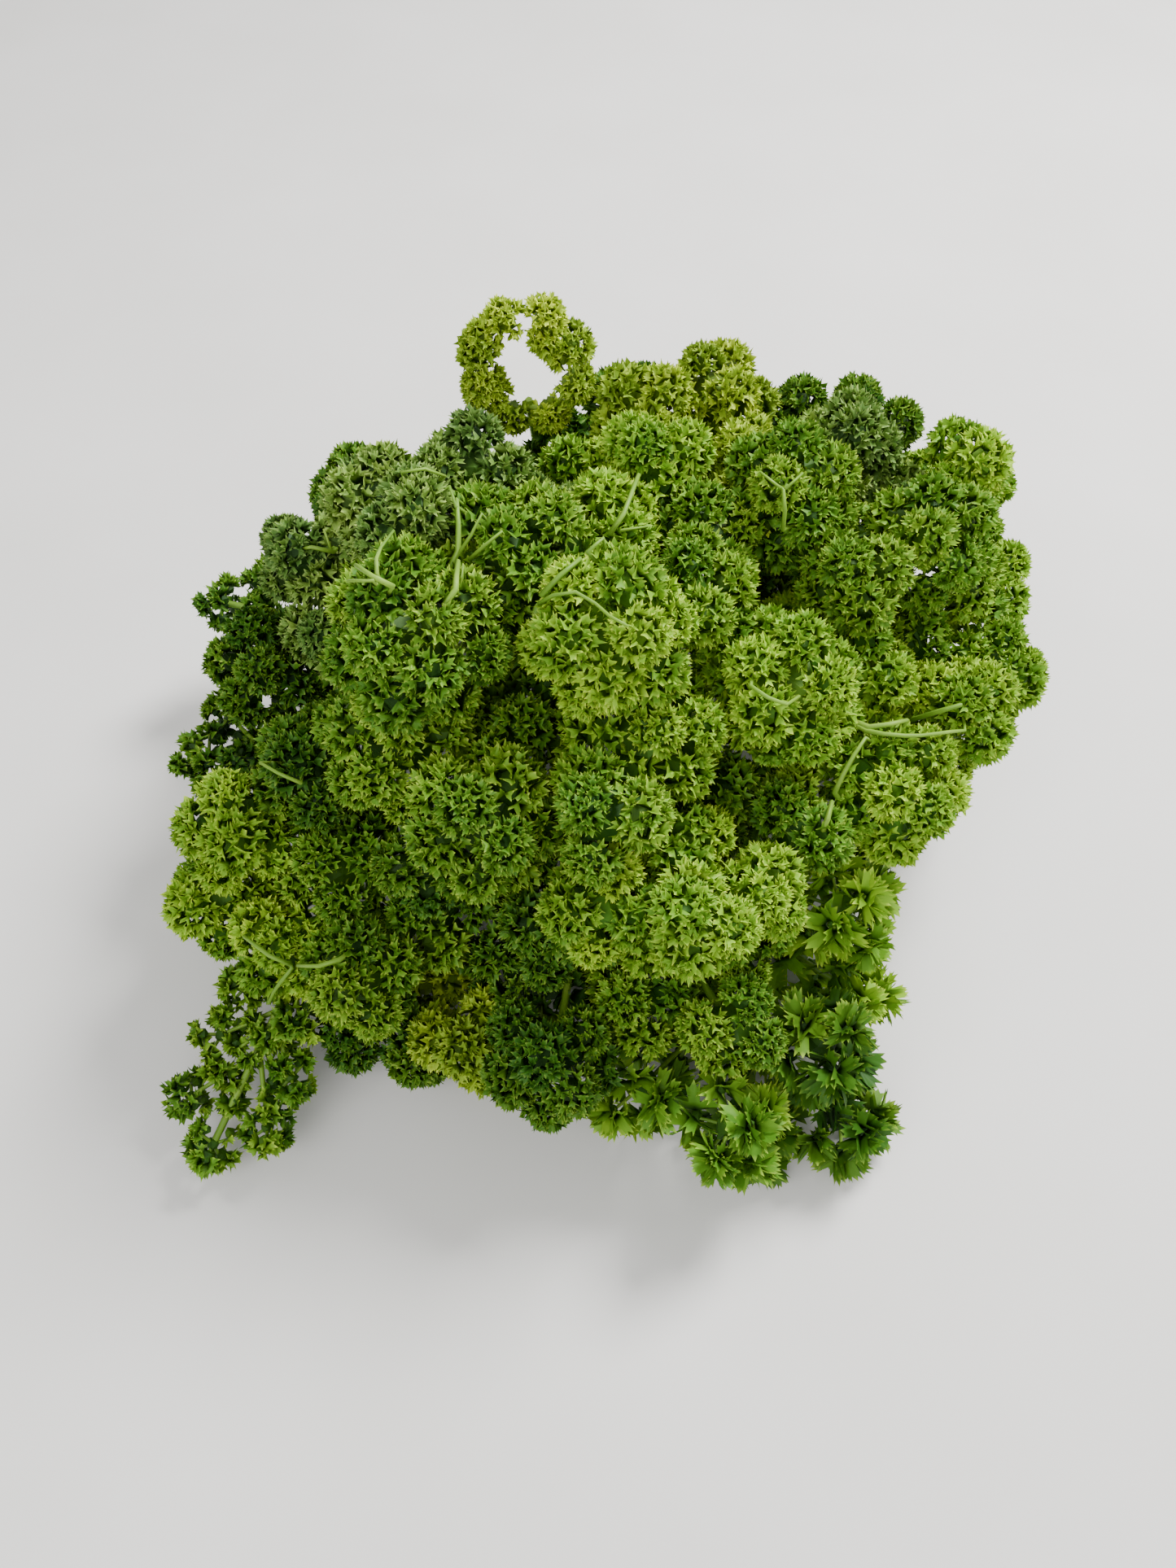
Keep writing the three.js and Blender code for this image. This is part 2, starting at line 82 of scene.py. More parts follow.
# name, place of its head, plan, tufts, tuft radius, spread, tone, and the way it looks, if given
STEMS = [
    ("loop_back", (-20, 106, 150), "ring", 8, 8.5, 16, "yellow", (0.1, -0.95, 0.3)),
    ("back_small", (18, 122, 122), "dome", 3, 20, 15, "deep"),
    ("back_yellow", (60, 111, 128), "dome", 4, 23, 20, "yellow"),
    ("back_right", (90, 117, 114), "dome", 4, 22, 19, "deep"),
    ("right_grey", (112, 88, 112), "dome", 3, 24, 19, "pale"),
    ("right_far", (132, 94, 100), "dome", 4, 21, 20, "bright"),
    ("back_left", (-88, 102, 98), "dome", 3, 22, 18, "deep"),
    ("crown_turned", (-33, 50, 154), "dome", 5, 21, 23, "pale", (-0.1, 0.45, 0.9)),
    ("left_fan", (-93, 56, 108), "dome", 4, 22, 22, "pale", (-0.75, 0.1, 0.5)),
    ("crown_bright", (18, 54, 146), "dome", 4, 21, 21, "bright"),
    ("crown_mid", (61, 58, 134), "dome", 4, 24, 22, "mid"),
    ("right_upper", (100, 44, 119), "dome", 4, 24, 22, "mid"),
    ("right_edge", (121, 55, 97), "dome", 3, 21, 17, "mid"),
    ("big_front", (-44, -14, 140), "dome", 5, 28, 28, "mid"),
    ("big_side", (-4, -4, 141), "dome", 4, 26, 20, "bright"),
    ("left_outer", (-110, 34, 84), "dome", 4, 24, 22, "deep"),
    ("rosette", (30, 17, 134), "dome", 4, 21, 19, "mid"),
    ("right_large", (78, 10, 113), "dome", 5, 24, 23, "bright"),
    ("right_head", (137, 39, 74), "dome", 5, 24, 26, "bright"),
    # The inner heads, and others that sit low or between heads, take the deep tone: a dark green that is
    # also painted shade.
    ("inner_left", (-38, -26, 92), "dome", 3, 24, 18, "deep"),
    ("inner_front", (12, -56, 62), "dome", 3, 24, 18, "deep"),
    ("inner_right", (42, -6, 92), "dome", 3, 24, 18, "deep"),
    ("left_sprig", (-107, 15, 62), "spray", 3, 14, 22, "deep", (-0.85, -0.3, 0.1)),
    ("left_low", (-122, -39, 56), "dome", 5, 21, 19, "bright"),
    ("left_hanging", (-96, -52, 34), "spray", 7, 12, 66, "mid", (-0.4, -0.88, -0.3)),
    ("left_inner", (-74, -28, 94), "dome", 4, 22, 20, "deep"),
    ("left_front", (-66, -62, 66), "dome", 4, 22, 20, "mid"),
    ("front_centre", (3, -38, 118), "dome", 4, 21, 19, "mid"),
    ("front_bright", (27, -66, 94), "dome", 5, 19, 18, "bright"),
    ("front_round", (37, -81, 64), "dome", 4, 19, 14, "mid"),
    ("front_dark", (-6, -86, 56), "dome", 4, 24, 21, "deep"),
    ("front_yellow", (-40, -80, 30), "dome", 3, 20, 15, "yellow"),
    ("left_corner", (-78, -75, 22), "dome", 3, 18, 14, "deep"),
    ("front_flat", (45, -103, 22), "dome", 4, 21, 21, "mid"),
    ("front_flat_right", (67, -101, 20), "dome", 3, 21, 17, "deep"),
    ("right_front", (81, -68, 36), "dome", 4, 22, 20, "bright"),
    ("right_low", (62, -27, 88), "dome", 4, 21, 20, "mid"),
    ("right_inner", (86, -34, 46), "dome", 3, 19, 14, "bright"),
    ("far_left", (-112, 86, 50), "spray", 3, 13, 30, "deep", (-0.9, 0.1, 0.1)),
    ("back_low_left", (-70, 128, 46), "dome", 4, 24, 21, "mid"),
    ("back_low_right", (84, 134, 50), "dome", 4, 24, 21, "deep"),
    ("right_floor", (140, 62, 30), "dome", 4, 22, 20, "mid"),
]
print(len(STEMS), "leafy stems,", sum(s[3] for s in STEMS), "tufts")

# %% Sizes that the plan shares with the solids
STALK_CUT_R = 1.9  # at the cut end
STALK_TOP_R = 1.6  # and where it divides
BRANCH_R = 0.85
STALK_POINTS = 8
DOME_DEPTH = 0.8  # from a dome's place in to its middle, in tuft radii
HUB_DEPTH = 0.6  # and on to where its stalk divides, as a share of its spread
FLAT_R = STALK_CUT_R * math.sqrt(0.5)  # height of the middle of a stalk that lies down
EASE = 1.0  # clear space that stalks are eased apart to
TUFT_SPACING = 0.72  # least distance of two tufts, as a share of their radii's sum
TUFT_SINK = 0.5  # height of the lowest tufts' middles, as a share of their radius
TUFT_HEART = 0.6  # stalks that pass keep out of this share of a tuft's radius
TUFT_ROUNDS = 60
STALK_ROUNDS = 120
BEND = 0.02  # how much each round of easing smooths a stalk
BEND_ROUNDS = 0.8 * STALK_ROUNDS  # the last rounds only keep the stalks apart
PILE_ROWS = [10, 9, 9, 8, 6]  # stalks in each row of the pile, from below
PILE_PITCH = 4.5
PILE_RISE = 3.9
CUT_Y = 214
CUT_Y_SPREAD = 13
NECK_Y = 122  # where the stalks start to part
NECK_RISE = 3
NECK_PINCH = 0.95  # how far out they are there, as a share
RING_TOP = 3.0  # from a ring's hub to the end of its stalk
SIGHT_Y, SIGHT_Z = NECK_Y + 30, 26  # heads are high or low as seen from here


# %% [markdown]
# ### Random draws and directions
#
# Every random number comes from a seeded rule, so each run grows the same bunch. It is the old
# Park-Miller rule: one line long, and the same in any language.

# %% Helpers for the plan
def seeded(seed):
    """A function that gives the next number from 0 to 1 at each call."""
    state = [seed % 2147483647]

    def draw():
        state[0] = state[0] * 16807 % 2147483647
        return state[0] / 2147483647

    return draw


def unit(v):
    return v / norm(v)


def sideways(d):
    """Two directions square to d, the first as level as it can be."""
    level = np.array([-d[1], d[0], 0.0])
    if norm(level) < 0.05:
        level = np.array([1.0, 0, 0])
    e1 = unit(level)
    return e1, unit(np.cross(d, e1))


# %% The tufts of one head
def tufts_of(plan, count, radius, spread, look, middle, draw):
    """Places, radii and directions of a head's tufts; the stalk runs on into the first."""
    e1, e2 = sideways(look)
    tufts = []

    def add(at, size, out, leaves):
        tufts.append(Namespace(at=at, r=size * radius, look=unit(out), leaves=leaves))

    def around(angle):
        return e1 * math.cos(angle) + e2 * math.sin(angle)

    if plan == "spray":
        add(middle + look * spread, 1, look, 0)
        for i in range(count - 1):
            along = (i // 2 + 0.4 + 0.3 * draw()) / (count / 2)
            out = e1 * (-1 if i % 2 else 1) + look * 0.6
            at = middle + look * (along * spread - 0.2 * radius) + out * 1.2 * radius
            add(at, 0.85 + 0.2 * draw(), out, 0.7 * along)
    elif plan == "dome":
        add(middle + look * 0.3 * spread, 1, look, 0)
        turn = draw() * math.pi
        for i in range(count - 1):
            out = around(turn + (i + 0.3 * draw()) / (count - 1) * 2 * math.pi)
            at = middle + out * spread * (0.92 + 0.16 * draw())
            at = at - look * 0.3 * spread * draw()
            add(at, 0.85 + 0.25 * draw(), out + look * 0.8, 0)
    else:
        for i in range(count):
            out = around((i + 0.5) / count * 2 * math.pi - math.pi / 2)
            add(middle + out * spread, 1, out + look * 0.4, 0)
    return tufts


def plan_stem(index, row):
    name, crown, plan, count, radius, spread, tone, *look = row
    crown = np.array(crown, float)
    look = unit(np.array(look[0]) if look else crown - HEART)
    stem = Namespace(name=name, plan=plan, count=count, radius=radius, spread=spread, tone=tone)
    stem.look, stem.draw = look, seeded(1001 + 7919 * index)
    stem.middle = crown - look * (DOME_DEPTH * radius if plan == "dome" else 0)
    stem.hub = stem.middle.copy()
    if plan == "dome":
        stem.hub -= look * HUB_DEPTH * spread
    if plan == "ring":
        stem.hub[2] -= spread
    stem.tufts = tufts_of(plan, count, radius, spread, look, stem.middle, stem.draw)
    return stem


stems = [plan_stem(i, row) for i, row in enumerate(STEMS)]


# %% [markdown]
# ### Room for everything
#
# Tufts that stand too close push each other apart, and a stalk that comes too near another stalk,
# branch or tuft is bent clear of it. Both are the same idea: find the nearest points, and move
# each side by half of what is missing, many times over. Arrays work out all pairs at once.

# %% Push tufts apart
def push_from(q, p, keep):
    """How far the points p move to be at least `keep` away from the points q."""
    away = p - q
    d = norm(away, axis=-1, keepdims=True)
    share = np.where((d < keep) & (d > 1e-6), 0.5 * (keep - d) / np.maximum(d, 1e-6), 0)
    return away * share


def settle_tufts(tufts):
    at = np.array([t.at for t in tufts])
    r = np.array([t.r for t in tufts])
    keep = TUFT_SPACING * (r[:, None] + r[None, :])
    np.fill_diagonal(keep, 0)
    for _ in range(TUFT_ROUNDS):
        at = at + push_from(at[None, :], at[:, None], keep[..., None]).sum(axis=1)
        at[:, 2] = np.maximum(at[:, 2], TUFT_SINK * r)
    for tuft, place in zip(tufts, at):
        tuft.at = place


settle_tufts([t for s in stems for t in s.tufts])


# %% Where each stalk is cut, and its first path
def branches_of(stem):
    """The branches of a head as lines of points. A ring has two, which bend round its hole."""
    at = [t.at for t in stem.tufts]
    hub = stem.hub
    if stem.plan == "ring":
        half = stem.count // 2
        return [[hub, *at[:half]], [hub, *at[half:][::-1]]]
    roots = [hub + (at[0] - hub) * t.leaves for t in stem.tufts[1:]]
    return [[root, end] for root, end in zip(roots, at[1:])]


def place_cut_ends():
    """Low heads take the low rows of the pile, and a row is in the order of its heads."""
    order = sorted(stems, key=lambda s: math.atan2(s.hub[2] - SIGHT_Z, SIGHT_Y - s.hub[1]))
    taken = 0
    for row, size in enumerate(PILE_ROWS):
        members = sorted(order[taken:taken + size], key=lambda s: s.hub[0])
        taken += size
        for i, s in enumerate(members):
            x = (i - (len(members) - 1) / 2) * PILE_PITCH
            y = CUT_Y + CUT_Y_SPREAD * (2 * s.draw() - 1)
            s.cut = np.array([x, y, FLAT_R + row * PILE_RISE])
            s.row = row


def first_path(s):
    """One bend from the cut end to the hub, drawn by the neck and a point below the head."""
    cut, hub = s.cut, s.hub
    neck = np.array([cut[0] * NECK_PINCH, NECK_Y, cut[2] + NECK_RISE * s.row])
    ring = s.plan == "ring"
    below = hub - (np.array([0, 0, s.radius]) if ring else s.look * s.radius)
    t = np.linspace(0, 1, STALK_POINTS)[:, None]
    bend = (1 - t) ** 3 * cut + 3 * (1 - t) ** 2 * t * neck + 3 * (1 - t) * t**2 * below
    end = hub + np.array([0, 0, RING_TOP]) if ring else s.tufts[0].at
    return np.vstack([bend + t**3 * hub, end])


place_cut_ends()
for s in stems:
    s.branches = branches_of(s)
    s.path = first_path(s)


# %% Ease the stalks clear of one another
def nearest_shares(a, u, c, w):
    """Where the lines a + u and c + w come nearest: a share along each, for all pairs."""
    r = a - c
    uu, uw, ww = (u * u).sum(-1), (u * w).sum(-1), (w * w).sum(-1)
    ru, rw = (r * u).sum(-1), (r * w).sum(-1)
    first = np.clip((uw * rw - ww * ru) / np.maximum(uu * ww - uw * uw, 1e-9), 0, 1)
    t = np.clip((uw * first + rw) / ww, 0, 1)
    return np.clip((uw * t - ru) / uu, 0, 1), t


def obstacles(paths):
    """Every stretch of stalk and branch and every tuft, as lines with a keep-away distance."""
    rows = []
    for n, (s, path) in enumerate(zip(stems, paths)):
        lines = [(path, STALK_CUT_R)] + [(b, BRANCH_R) for b in s.branches]
        for line, r in lines:
            rows += [(n, p, q, STALK_CUT_R + r + EASE) for p, q in zip(line, line[1:])]
        for t in s.tufts:
            top = t.at + np.array([0, 0, 0.01])
            rows.append((n, t.at, top, TUFT_HEART * t.r + STALK_CUT_R))
    owner, start, end, keep = zip(*rows)
    return np.array(owner), np.array(start), np.array(end), np.array(keep)


def ease_stalks():
    paths = np.array([s.path for s in stems])
    lowest = np.array([s.row == 0 for s in stems])
    mine = np.repeat(np.arange(len(stems)), STALK_POINTS)
    for turn in range(STALK_ROUNDS):
        owner, start, end, keep = obstacles(paths)
        a, b = paths[:, :-1].reshape(-1, 1, 3), paths[:, 1:].reshape(-1, 1, 3)
        share, t = nearest_shares(a, b - a, start[None], (end - start)[None])
        share, t = share[..., None], t[..., None]
        push = push_from(start + (end - start) * t, a + (b - a) * share, keep[None, :, None])
        push = np.where((mine[:, None] != owner[None])[..., None], push, 0)
        move = np.zeros_like(paths)
        move[:, :-1] += (push * (1 - share)).sum(axis=1).reshape(len(stems), -1, 3)
        move[:, 1:] += (push * share).sum(axis=1).reshape(len(stems), -1, 3)
        free = paths[:, :-2] + move[:, :-2]  # the hub and the end stay where they are
        if turn < BEND_ROUNDS:
            middle = 0.5 * (paths[:, :-3] + paths[:, 2:-1])
            free[:, 1:] += BEND * (middle - free[:, 1:])
        free[..., 2] = np.maximum(free[..., 2], FLAT_R)
        free[lowest, :2, 2] = FLAT_R
        paths[:, :-2] = free
    for s, path in zip(stems, paths):
        s.path = path


ease_stalks()
lengths = [norm(np.diff(s.path, axis=0), axis=1).sum() for s in stems]
print(f"stalks are {min(lengths):.0f} to {max(lengths):.0f} mm long")

# %% [markdown]
# ## Tools for meshes and nodes
#
# A mesh is made from lists of points. A node is added together with what goes into it, so that a
# tree of nodes reads from top to bottom like any other code.

# %% Helpers for meshes
def mesh_of(name, points, faces=(), edges=(), **attributes):
    """A mesh from points in plan millimetres, with a named number or direction at each point."""
    mesh = bpy.data.meshes.new(name)
    mesh.from_pydata((np.asarray(points) / 1000).tolist(), list(edges), list(faces))
    for key, values in attributes.items():
        values = np.asarray(values, float)
        kind, field = ("FLOAT_VECTOR", "vector") if values.ndim == 2 else ("FLOAT", "value")
        mesh.attributes.new(key, kind, "POINT").data.foreach_set(field, values.ravel())
    return mesh


def new_object(name, data):
    obj = bpy.data.objects.new(name, data)
    bpy.context.scene.collection.objects.link(obj)
    return obj


def collection_of(name, meshes):
    """A collection that the node trees pick their copies from. It isn't part of the scene."""
    collection = bpy.data.collections.new(name)
    for mesh in meshes:
        collection.objects.link(bpy.data.objects.new(mesh.name, mesh))
    return collection


# %% Helpers for nodes
def fill(tree, socket, value):
    """Fill an input with a value or with another node's output."""
    if isinstance(value, bpy.types.NodeSocket):
        tree.links.new(value, socket)
    else:
        socket.default_value = value


def add_node(tree, kind, wires=None, **settings):
    """Add a node, choose its settings, then fill its inputs by name."""
    node = tree.nodes.new(kind)
    for key, value in settings.items():
        setattr(node, key, value)
    for key, value in (wires or {}).items():
        fill(tree, next(s for s in node.inputs if s.enabled and s.name == key), value)
    return next((s for s in node.outputs if s.enabled), None)


def in_order(tree, kind, *values, **settings):
    """The same for a node whose inputs share a name: fill them in order."""
    node = add_node(tree, kind, **settings).node
    for socket, value in zip(node.inputs, values):
        fill(tree, socket, value)
    return node.outputs[0]


def new_tree(name, inputs):
    """A modifier's tree with named inputs, and the sockets of those by name."""
    tree = bpy.data.node_groups.new(name, "GeometryNodeTree")
    tree.interface.new_socket("Geometry", in_out="OUTPUT", socket_type="NodeSocketGeometry")
    for label, kind in {"Geometry": "Geometry", **inputs}.items():
        tree.interface.new_socket(label, in_out="INPUT", socket_type="NodeSocket" + kind)
    return tree, tree.nodes.new("NodeGroupInput").outputs


def grow(name, mesh, tree, **values):
    """Run a tree on a mesh, and give the result as a plain mesh."""
    obj = new_object(name, mesh)
    modifier = obj.modifiers.new("Grow", "NODES")
    modifier.node_group = tree
    names = {i.name: i.identifier for i in tree.interface.items_tree if i.in_out == "INPUT"}
    for key, value in values.items():
        modifier[names[key.replace("_", " ")]] = value
    bpy.context.view_layer.update()
    done = obj.evaluated_get(bpy.context.evaluated_depsgraph_get())
    grown = bpy.data.meshes.new_from_object(done)
    bpy.data.objects.remove(obj)
    return grown


def triangles(mesh):
    return sum(len(p.vertices) - 2 for p in mesh.polygons)


# %% [markdown]
# ## Leaflets
#
# The smallest leafy thing is a fan a few millimetres wide, with teeth along its rim. Because the
# rim grows faster than the middle, it has too much length and folds from side to side. A few
# stems are nearly flat-leaved: their fans are larger, and cut into lobes of three blunt teeth.
#
# A leaflet is repeated many thousands of times, so it has few faces: two sides that meet at the
# rim, with a point or more in the middle of each side to give it body. A number at each point,
# from 0 at the root to 1 at a tooth's tip, tells the material where it is.

# %% What both kinds of leaflet share
LEAF_THICKNESS = 0.34


def fan_point(angle, r, aside):
    """A point of a fan that opens along Z from its root, moved off the fan's plane."""
    return (r * math.sin(angle), aside, r * math.cos(angle))


def closed_leaf(name, points, rim, faces, over, under):
    """Add the other side of a leaf, where `under` holds the twins of the points in `over`."""
    twin = dict(zip(over, under))
    other_side = [tuple(twin.get(i, i) for i in reversed(face)) for face in faces]
    mesh = mesh_of(name, points, faces + other_side, rim=rim)
    turn_outwards(mesh)
    soften(mesh, over + under)
    return mesh


def soften(mesh, inside):
    """Shade smoothly across each side of a leaf, but keep its rim crisp."""
    mesh.shade_smooth()
    inside = set(inside) | {0}
    crisp = [not (inside & set(e.vertices)) for e in mesh.edges]
    mesh.attributes.new("sharp_edge", "BOOLEAN", "EDGE").data.foreach_set("value", crisp)


def turn_outwards(mesh):
    """Flip a closed mesh whose faces point inwards, which its volume's sign gives away."""
    p = np.array([v.co for v in mesh.vertices])
    f = np.array([q.vertices for q in mesh.polygons])
    if np.einsum("ij,ij->i", p[f[:, 0]], np.cross(p[f[:, 1]], p[f[:, 2]])).sum() < 0:
        mesh.flip_normals()


# %% A frill: a fan with a wavy rim of pointed teeth
DEEP_NOTCH = 0.86  # every other cut goes in to this share of the others' reach
SHORT_SIDES = 0.8  # how fast the reach falls off towards the sides


def frill(name, draw, teeth, fan, reach, notch, wave):
    """`notch` is how far the cuts come in, as a share of the reach; `wave` is in millimetres."""
    points, rim = [(0, 0, 0)], [0.0]
    phase, turns, cup = 6.3 * draw(), 1.6 + 0.9 * draw(), 2.4 * (draw() - 0.5)
    edge = [0]
    for i in range(2 * teeth + 1):
        share = i / (2 * teeth) - 0.5
        tip = i % 2
        r = reach * (0.9 + 0.2 * draw() if tip else notch + 0.1 * (draw() - 0.5))
        if i % 4 == 0:
            r *= DEEP_NOTCH
        r *= 1 - SHORT_SIDES * share * share
        aside = wave * math.sin(phase + 2 * math.pi * turns * share) + cup * 4 * share * share
        aside = (aside + 0.5 * (draw() - 0.5)) * (r / reach) ** 1.5
        points.append(fan_point(math.radians(fan) * share, r, aside))
        rim.append(1.0 if tip else 0.72)
        edge.append(len(points) - 1)
    middle = len(points)
    for side in (1, -1):
        points.append(fan_point(0, 0.5 * reach, side * LEAF_THICKNESS / 2))
        rim.append(0.3)
    faces = [(middle, b, a) for a, b in zip(edge, edge[1:] + edge[:1])]
    return closed_leaf(name, points, rim, faces, [middle], [middle + 1])


# %% A flat leaflet: a fan of lobes with blunt teeth
def flat_leaflet(name, draw, lobes, teeth, fan, reach, tooth, notch, bend, curl):
    """The lobes bend to the two sides in turn, by about `bend` radians at the rim."""
    width = math.radians(fan) / lobes
    points, rim = [(0, 0, 0)], [0.0]

    def add(angle, r, bent, share, lift=0.0):
        lean = 0.55 * bent * r / reach
        points.append(fan_point(angle, r * math.cos(lean), r * math.sin(lean) + lift))
        rim.append(share)
        return len(points) - 1

    side = 1 if draw() > 0.5 else -1
    cup = 0.9 * (draw() - 0.5)
    start = -math.radians(fan) / 2
    cuts = [add(start + j * width, reach * (0.42 + 0.1 * draw()), cup, 0.5)
            for j in range(lobes + 1)]
    over, under, faces = [], [], []
    for j in range(lobes):
        side = -side
        bent = side * bend * (0.7 + 0.6 * draw()) + cup
        middle = start + (j + 0.5) * width
        over.append(add(middle, 0.42 * reach, 0.8 * bent, 0.35, LEAF_THICKNESS / 2))
        under.append(add(middle, 0.42 * reach, 0.8 * bent, 0.35, -LEAF_THICKNESS / 2))
        edge = [cuts[j]]
        for k in range(teeth):
            off = (k + 0.5) / teeth - 0.5
            angle = middle + (0.82 * off + 0.1 * (draw() - 0.5)) * width
            if k > 0:
                edge.append(add(angle - 0.41 * width / teeth, reach * notch, 0.9 * bent, 0.7))
            r = reach + tooth * (0.65 + 0.5 * draw() - 2.7 * off * off)
            edge.append(add(angle, r, bent, 1.0, curl * (2 * draw() - 1)))
        edge.append(cuts[j + 1])
        faces += [(over[j], b, a) for a, b in zip(edge, edge[1:])]
    faces += [(0, over[0], cuts[0]), (0, cuts[lobes], over[-1])]
    for j in range(lobes - 1):
        faces += [(0, over[j + 1], over[j]), (over[j], over[j + 1], cuts[j + 1])]
    return closed_leaf(name, points, rim, faces, over, under)


# %% A few leaflets of each kind
draw = seeded(77)
FRILL = dict(teeth=8, fan=112, reach=5.4, notch=0.8, wave=2.0)
FLAT = dict(lobes=3, teeth=3, fan=158, reach=8.6, tooth=1.5, notch=0.93, bend=0.45, curl=0.5)
leaves = [frill(f"frill_{i}", draw, **FRILL) for i in range(16)]
frills = collection_of("frills", leaves)
leaves = [flat_leaflet(f"flat_{i}", draw, **FLAT) for i in range(8)]
flat_leaflets = collection_of("flat_leaflets", leaves)

# %% [markdown]
# ## Copies on points
#
# At each point a stem needs one of a few leaflets, turned to face outwards and spun by chance,
# with its own size and a small tint. The chance comes from a seed, so every run gives the same
# bunch. What a point carries, such as its shade, goes on to the copy that stands there.

# %% Nodes that put copies on points
MOST_INDEX = 999  # wraps round the few shapes there are


def attribute(tree, name, kind="FLOAT"):
    wires = {"Name": name}
    return add_node(tree, "GeometryNodeInputNamedAttribute", wires, data_type=kind)


def chance(tree, low, high, seed, kind="FLOAT"):
    wires = {"Min": low, "Max": high, "Seed": seed}
    return add_node(tree, "FunctionNodeRandomValue", wires, data_type=kind)


def copies_on(tree, points, collection, seed, chosen):
    """Add nodes that put copies on the chosen points. Sizes come from the points themselves."""
    facing = {"Vector": attribute(tree, "outward", "FLOAT_VECTOR")}
    facing = add_node(tree, "FunctionNodeAlignRotationToVector", facing, axis="Z")
    spin = {"Axis": (0, 0, 1), "Angle": chance(tree, 0, 2 * math.pi, seed)}
    spin = add_node(tree, "FunctionNodeAxisAngleToRotation", spin)
    turned = {"Rotation": facing, "Rotate By": spin}
    turned = add_node(tree, "FunctionNodeRotateRotation", turned, rotation_space="LOCAL")
    shapes = {"Collection": collection, "Separate Children": True, "Reset Children": True}
    wires = {
        "Points": points,
        "Selection": chosen,
        "Instance": add_node(tree, "GeometryNodeCollectionInfo", shapes),
        "Pick Instance": True,
        "Instance Index": chance(tree, 0, MOST_INDEX, seed, "INT"),
        "Rotation": turned,
        "Scale": attribute(tree, "size"),
    }
    copies = add_node(tree, "GeometryNodeInstanceOnPoints", wires)
    wires = {"Geometry": copies, "Name": "tint", "Value": chance(tree, -1, 1, seed)}
    kinds = dict(data_type="FLOAT", domain="INSTANCE")
    copies = add_node(tree, "GeometryNodeStoreNamedAttribute", wires, **kinds)
    return add_node(tree, "GeometryNodeRealizeInstances", {"Geometry": copies})


# %% [markdown]
# ## Materials
#
# A leaf is darkest and bluest in its middle and turns light and yellowish at the tips of its
# teeth, where it is youngest. The dark middle is partly painted shade, as the roots sit far inside
# the knobs, and the light tips are partly a painted highlight along the rims. Light also passes
# through it, so a translucent share goes in beside the glossy surface. Every leaflet has its own
# small tint, and every knob its own shade. Five tones cover the bunch, from old dark heads to
# young yellow ones; the deep tone is also painted shade, for heads inside the bunch and in the
# creases between others.


# %% Helpers for colours
def srgb(code):
    """A colour from its screen code, as the linear numbers that shaders use."""
    parts = [int(code[i:i + 2], 16) / 255 for i in (1, 3, 5)]
    return (*[p / 12.92 if p < 0.04045 else ((p + 0.055) / 1.055) ** 2.4 for p in parts], 1)


def blank_material(name):
    material = bpy.data.materials.new(name)
    material.use_nodes = True
    material.node_tree.nodes.clear()
    return material, material.node_tree


def finished(material, surface):
    add_node(material.node_tree, "ShaderNodeOutputMaterial", {"Surface": surface})
    return material


def ramp(tree, factor, stops):
    """A colour ramp with (place, colour) stops."""
    colour = add_node(tree, "ShaderNodeValToRGB", {"Fac": factor})
    elements = colour.node.color_ramp.elements
    while len(elements) < len(stops):
        elements.new(0.5)
    for element, (place, code) in zip(elements, stops):
        element.position, element.color = place, srgb(code)
    return colour


def maths(tree, operation, a, b):
    return in_order(tree, "ShaderNodeMath", a, b, operation=operation)


def number_at(tree, name):
    """The number that each point carries under this name."""
    outputs = add_node(tree, "ShaderNodeAttribute", attribute_name=name).node.outputs
    return next(s for s in outputs if s.name == "Fac")


def weighed(tree, base, *terms):
    """A base number and some inputs, each times its weight, added up."""
    total, *others = [maths(tree, "MULTIPLY", source, weight) for source, weight in terms]
    for term in others:
        total = maths(tree, "ADD", total, term)
    return maths(tree, "ADD", total, base)


def noise(tree, scale, detail):
    place = add_node(tree, "ShaderNodeTexCoord").node.outputs["Object"]
    wires = {"Vector": place, "Scale": scale, "Detail": detail}
    return add_node(tree, "ShaderNodeTexNoise", wires)


# %% The leaf material in five tones
LIGHT_THROUGH = 0.22  # share of the light that passes through a leaf
# The root colour is partly painted shade and the tip colour partly a painted highlight.
TONES = {  # root, blade and tip of a tooth
    # A dark green, darkened further as painted shade for heads inside the bunch and in creases.
    "deep": ("#1d3e0c", "#487518", "#86a836"),
    "mid": ("#2d540f", "#669420", "#a6c442"),
    "bright": ("#40700f", "#84b226", "#bfd848"),
    "yellow": ("#567412", "#9ab82a", "#c8da4a"),
    "pale": ("#31551a", "#698d36", "#a3be60"),
}


